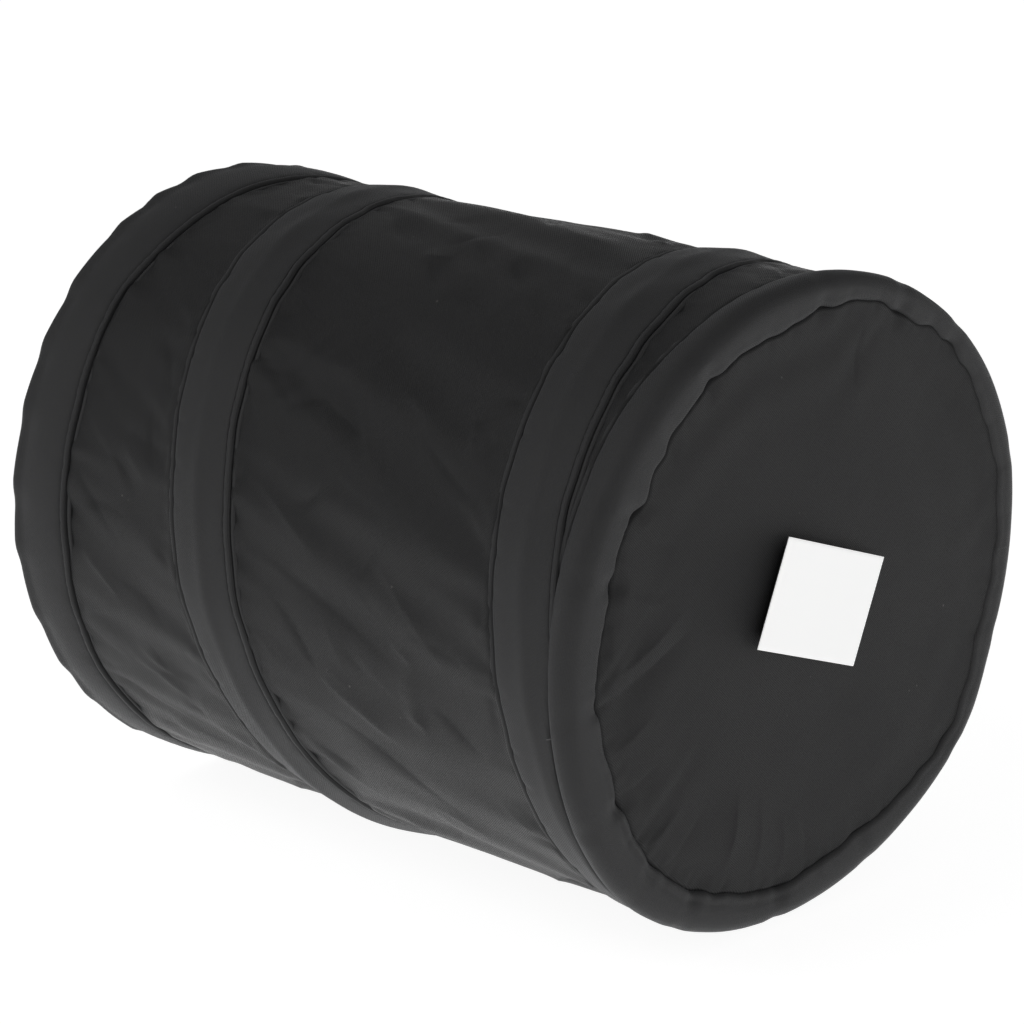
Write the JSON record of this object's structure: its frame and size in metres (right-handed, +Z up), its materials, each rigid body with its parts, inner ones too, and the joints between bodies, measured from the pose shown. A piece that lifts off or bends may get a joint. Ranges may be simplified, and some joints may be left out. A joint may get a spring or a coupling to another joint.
{
  "type": "pop-up pet tunnel",
  "caption": "Collapsible pop-up tunnel of black woven cloth on a helical spring wire, with an open mouth, a closed round end panel and a square fastening pad.",
  "frame": {"origin": "on the plane the tunnel rests on, under the middle of its length and width", "axes": "+X along the tunnel's axis from the open mouth to the closed end, +Z up, +Y across"},
  "size_m": [0.195, 0.16, 0.16],
  "materials": {
    "wall_cloth": "coated black oxford weave",
    "channel_cloth": "doubled black oxford weave with topstitching",
    "spring_steel": "bright drawn wire",
    "crimp_metal": "crimped sleeve",
    "cap_plastic": "soft matt vinyl",
    "hook_and_loop": "black hook and loop nap",
    "liner_film": "white satin release film"
  },
  "bodies": {
    "mouth_end": {"mouth_rim_band": "channel_cloth", "mouth_hoop_wire": "spring_steel", "mouth_hoop_ferrule": "crimp_metal", "wall_section_1": "wall_cloth", "side_seam_tape": "wall_cloth", "helix_spring_wire": "spring_steel", "helix_wire_band": "channel_cloth", "helix_mouth_end_cap": "cap_plastic"},
    "coil_1": {"wall_section_2": "wall_cloth"},
    "coil_2": {"wall_section_3": "wall_cloth"},
    "coil_3": {"wall_section_4": "wall_cloth"},
    "coil_4": {"wall_section_5": "wall_cloth"},
    "panel_end": {"wall_section_6": "wall_cloth", "helix_panel_end_cap": "cap_plastic", "panel_rim_band": "channel_cloth", "panel_hoop_wire": "spring_steel", "panel_hoop_ferrule": "crimp_metal", "end_panel": "wall_cloth", "pad_loop_patch": "hook_and_loop", "pad_hook_patch": "hook_and_loop", "pad_release_liner": "liner_film"}
  },
  "joints": [
    {"name": "collapse", "type": "slide", "parent": "mouth_end", "child": "panel_end", "axis": [-1, 0, 0], "range_m": [0, 0.153], "stiffness_N_per_m": 40, "springref_m": -0.015, "deforming": ["wall_section_1", "wall_section_6", "side_seam_tape", "helix_spring_wire", "helix_wire_band"]},
    {"name": "coil_1_slide", "type": "slide", "parent": "mouth_end", "child": "coil_1", "axis": [-1, 0, 0], "range_m": [0, 0.0306], "deforming": ["wall_section_2"]},
    {"name": "coil_2_slide", "type": "slide", "parent": "mouth_end", "child": "coil_2", "axis": [-1, 0, 0], "range_m": [0, 0.0612], "deforming": ["wall_section_3"]},
    {"name": "coil_3_slide", "type": "slide", "parent": "mouth_end", "child": "coil_3", "axis": [-1, 0, 0], "range_m": [0, 0.0918], "deforming": ["wall_section_4"]},
    {"name": "coil_4_slide", "type": "slide", "parent": "mouth_end", "child": "coil_4", "axis": [-1, 0, 0], "range_m": [0, 0.1224], "deforming": ["wall_section_5"]}
  ],
  "couplings": [
    {"joint": "coil_1_slide", "follows": "collapse", "ratio": 0.2},
    {"joint": "coil_2_slide", "follows": "collapse", "ratio": 0.4},
    {"joint": "coil_3_slide", "follows": "collapse", "ratio": 0.6},
    {"joint": "coil_4_slide", "follows": "collapse", "ratio": 0.8}
  ]
}
